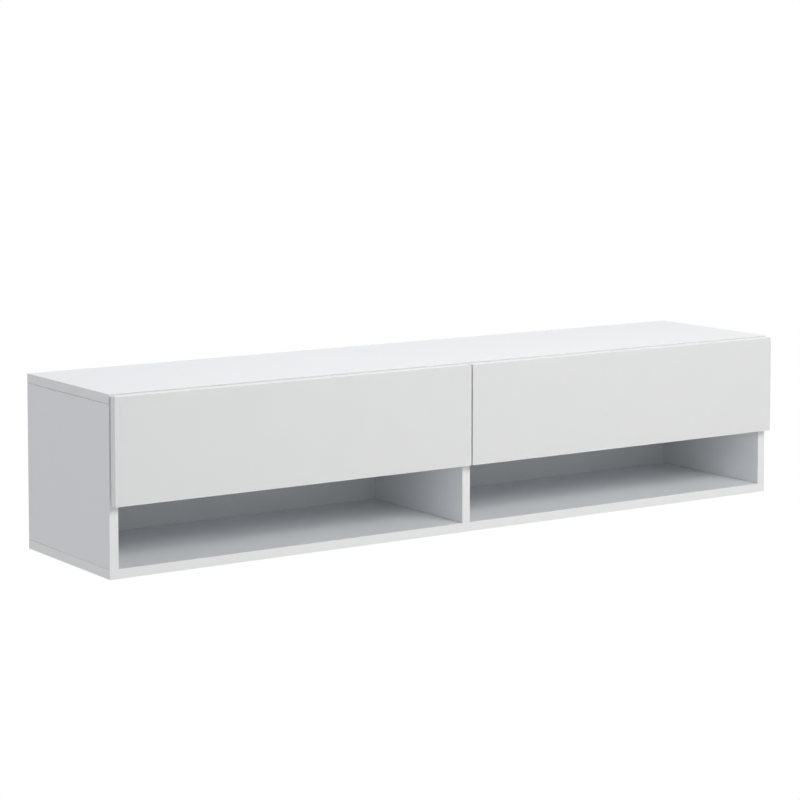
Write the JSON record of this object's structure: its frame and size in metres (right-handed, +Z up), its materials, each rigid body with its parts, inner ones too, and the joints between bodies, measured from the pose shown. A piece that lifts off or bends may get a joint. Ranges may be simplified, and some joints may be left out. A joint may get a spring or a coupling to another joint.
{
  "type": "floating media console",
  "caption": "Wall-hung low media cabinet in white board: open niches below, drop-down overlay flaps above, hung by hooks on a steel wall rail.",
  "frame": {"origin": "on the wall plane, in the middle of the wall rail's row of screw slots, midway along the console", "axes": "+X to the console's right as seen from the room, +Y back into the wall, +Z up"},
  "size_m": [1.4, 0.315, 0.3],
  "materials": {
    "melamine_board": "satin white melamine-faced chipboard",
    "abs_edging": "satin white ABS edge band",
    "hdf_back": "white lacquered hardboard",
    "nickel_steel": "nickel-plated pressed steel",
    "zinc_steel": "bright zinc-plated steel",
    "zinc_alloy": "die-cast zinc alloy, as cast",
    "white_plastic": "white moulded ABS",
    "grey_plastic": "grey moulded acetal",
    "spring_steel": "drawn spring wire",
    "magnet_metal": "nickel-plated magnet",
    "beech": "plain fluted beech"
  },
  "bodies": {
    "carcass": {"back_panel": "hdf_back", "board_screws": "zinc_steel", "bottom_edge_bands": "abs_edging", "bottom_panel": "melamine_board", "cabinet_screws": "zinc_steel", "cam_bolts": "zinc_steel", "cam_caps": "white_plastic", "cam_housings": "zinc_alloy", "centre_divider": "melamine_board", "dowels": "beech", "hanger_caps": "white_plastic", "hanger_hooks": "zinc_steel", "hanger_housings": "white_plastic", "hanger_screws": "zinc_steel", "hinge_screws": "nickel_steel", "left_inner_hinge_arm": "nickel_steel", "left_inner_hinge_plate": "nickel_steel", "left_latch_housing": "grey_plastic", "left_latch_spring": "spring_steel", "left_outer_hinge_arm": "nickel_steel", "left_outer_hinge_plate": "nickel_steel", "left_shelf": "melamine_board", "left_side": "melamine_board", "right_inner_hinge_arm": "nickel_steel", "right_inner_hinge_plate": "nickel_steel", "right_latch_housing": "grey_plastic", "right_latch_spring": "spring_steel", "right_outer_hinge_arm": "nickel_steel", "right_outer_hinge_plate": "nickel_steel", "right_shelf": "melamine_board", "right_side": "melamine_board", "shelf_edge_bands": "abs_edging", "stay_bushes": "grey_plastic", "stay_studs": "zinc_steel", "top_edge_bands": "abs_edging", "top_panel": "melamine_board", "upright_edge_bands": "abs_edging", "wall_rail": "zinc_steel"},
    "left_flap_leaf": {"left_flap": "melamine_board", "left_flap_edge_bands": "abs_edging", "left_flap_fixings": "zinc_steel", "left_hinge_pins": "nickel_steel", "left_inner_hinge_cup": "nickel_steel", "left_outer_hinge_cup": "nickel_steel", "left_stay_bracket": "zinc_steel", "left_strike_plate": "zinc_steel"},
    "left_plunger": {"left_latch_magnet": "magnet_metal", "left_latch_plunger": "grey_plastic"},
    "left_stay": {"left_stay_arm": "zinc_steel"},
    "right_flap_leaf": {"right_flap": "melamine_board", "right_flap_edge_bands": "abs_edging", "right_flap_fixings": "zinc_steel", "right_hinge_pins": "nickel_steel", "right_inner_hinge_cup": "nickel_steel", "right_outer_hinge_cup": "nickel_steel", "right_stay_bracket": "zinc_steel", "right_strike_plate": "zinc_steel"},
    "right_plunger": {"right_latch_magnet": "magnet_metal", "right_latch_plunger": "grey_plastic"},
    "right_stay": {"right_stay_arm": "zinc_steel"}
  },
  "joints": [
    {"name": "left_flap_hinge", "type": "hinge", "parent": "carcass", "child": "left_flap_leaf", "pos_m": [0, -0.3075, -0.1235], "axis": [1, 0, 0], "range_deg": [0, 90]},
    {"name": "left_stay_pivot", "type": "hinge", "parent": "left_flap_leaf", "child": "left_stay", "pos_m": [0, -0.289, -0.0135], "axis": [1, 0, 0], "range_deg": [-45, 0]},
    {"name": "left_latch_press", "type": "slide", "parent": "carcass", "child": "left_plunger", "axis": [0, 1, 0], "range_m": [0, 0.003], "stiffness_N_per_m": 400, "deforming": ["left_latch_spring"]},
    {"name": "right_flap_hinge", "type": "hinge", "parent": "carcass", "child": "right_flap_leaf", "pos_m": [0, -0.3075, -0.1235], "axis": [1, 0, 0], "range_deg": [0, 90]},
    {"name": "right_stay_pivot", "type": "hinge", "parent": "right_flap_leaf", "child": "right_stay", "pos_m": [0, -0.289, -0.0135], "axis": [1, 0, 0], "range_deg": [-45, 0]},
    {"name": "right_latch_press", "type": "slide", "parent": "carcass", "child": "right_plunger", "axis": [0, 1, 0], "range_m": [0, 0.003], "stiffness_N_per_m": 400, "deforming": ["right_latch_spring"]}
  ],
  "couplings": [
    {"joint": "left_stay_pivot", "follows": "left_flap_hinge", "ratio": -0.5},
    {"joint": "right_stay_pivot", "follows": "right_flap_hinge", "ratio": -0.5}
  ]
}
